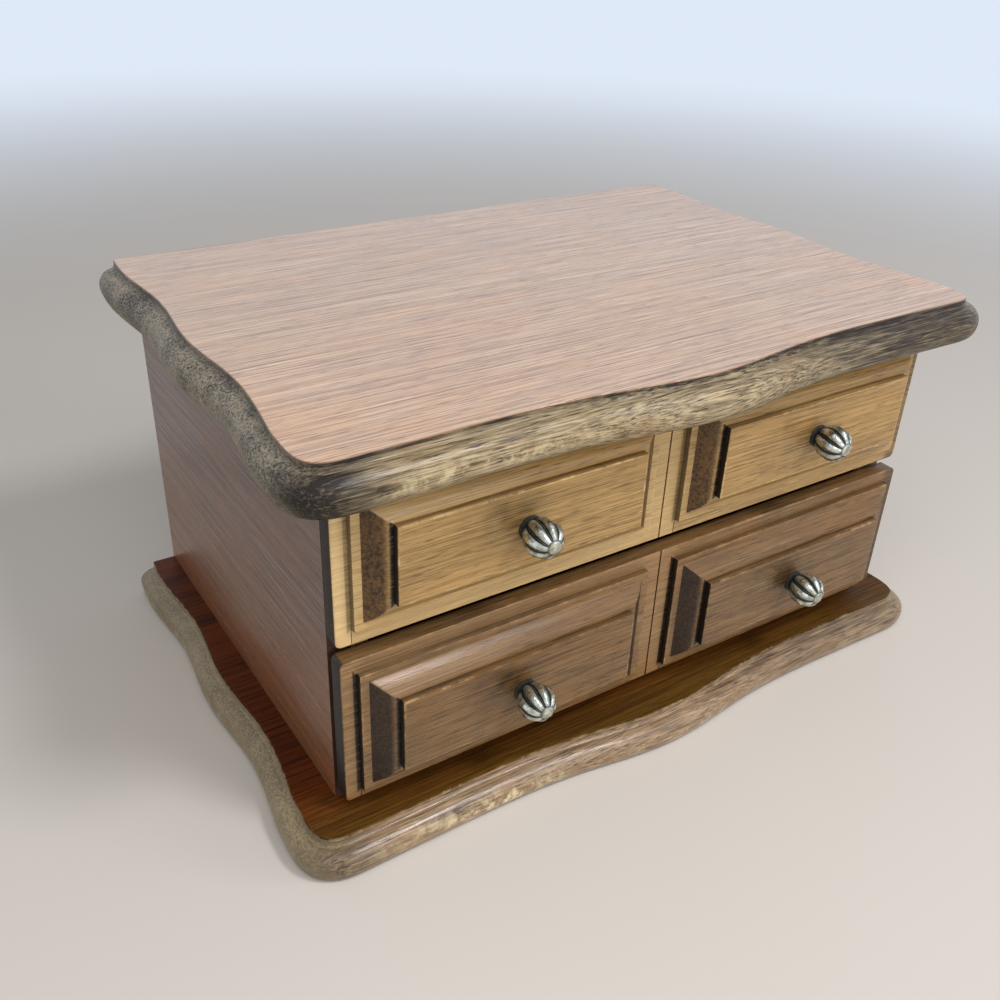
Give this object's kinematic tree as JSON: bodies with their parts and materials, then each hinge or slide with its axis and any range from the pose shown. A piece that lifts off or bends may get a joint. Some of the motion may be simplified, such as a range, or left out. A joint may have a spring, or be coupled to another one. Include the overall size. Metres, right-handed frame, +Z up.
{
  "type": "vanity box with mirror",
  "caption": "Wooden vanity box: serpentine moulded lid with a mirror inside, lined tray with ring rolls, and one wide raised-panel drawer with fluted knobs.",
  "frame": {"origin": "on the table, under the middle of the box's overall outline", "axes": "+X to the viewer's right along the front, -Y towards the viewer in front of the drawer, +Z up"},
  "size_m": [0.2892, 0.2022, 0.1498],
  "materials": {
    "lid_wood": "satin",
    "base_wood": "satin",
    "case_wood": "gloss",
    "back_wood": "matte",
    "front_wood": "satin",
    "drawer_wood": "satin",
    "bead_wood": "satin",
    "plywood": "matte",
    "velvet": "matte",
    "felt": "matte",
    "mirror": "polished",
    "card": "matte",
    "knob_metal": "antique",
    "hinge_brass": "satin",
    "steel": "satin"
  },
  "bodies": {
    "case": {"base_felt": "felt", "base_board": "base_wood", "case_floor": "plywood", "side_left": "case_wood", "side_right": "case_wood", "back_panel": "back_wood", "upper_front": "front_wood", "shelf": "plywood", "shelf_cleats": "plywood", "base_screws": "steel", "tray_floor_pad": "velvet", "tray_lining_front": "velvet", "tray_lining_back": "velvet", "tray_lining_left": "velvet", "tray_lining_right": "velvet", "tray_divider_long": "velvet", "tray_divider_short": "velvet", "ring_cushion_board": "velvet", "ring_rolls": "velvet", "knob_upper_left": "knob_metal", "knob_upper_right": "knob_metal", "knob_screws_upper": "steel", "hinge_leaves_case": "hinge_brass", "hinge_screws_case": "hinge_brass", "hinge_pins": "steel"},
    "lid": {"lid_board": "lid_wood", "mirror_glass": "mirror", "mirror_card": "card", "mirror_bead_front": "bead_wood", "mirror_bead_back": "bead_wood", "mirror_bead_left": "bead_wood", "mirror_bead_right": "bead_wood", "hinge_leaves_lid": "hinge_brass", "hinge_screws_lid": "hinge_brass"},
    "drawer": {"drawer_front": "drawer_wood", "drawer_side_left": "plywood", "drawer_side_right": "plywood", "drawer_back": "plywood", "drawer_floor": "plywood", "drawer_floor_pad": "velvet", "drawer_divider": "velvet", "knob_lower_left": "knob_metal", "knob_lower_right": "knob_metal", "knob_screws_lower": "steel"}
  },
  "joints": [
    {"name": "lid_hinge", "type": "hinge", "parent": "case", "child": "lid", "pos_m": [0, 0.09912, 0.1348], "axis": [-1, 0, 0], "range_deg": [0, 100]},
    {"name": "drawer_slide", "type": "slide", "parent": "case", "child": "drawer", "axis": [0, -1, 0], "range_m": [0, 0.12]}
  ]
}
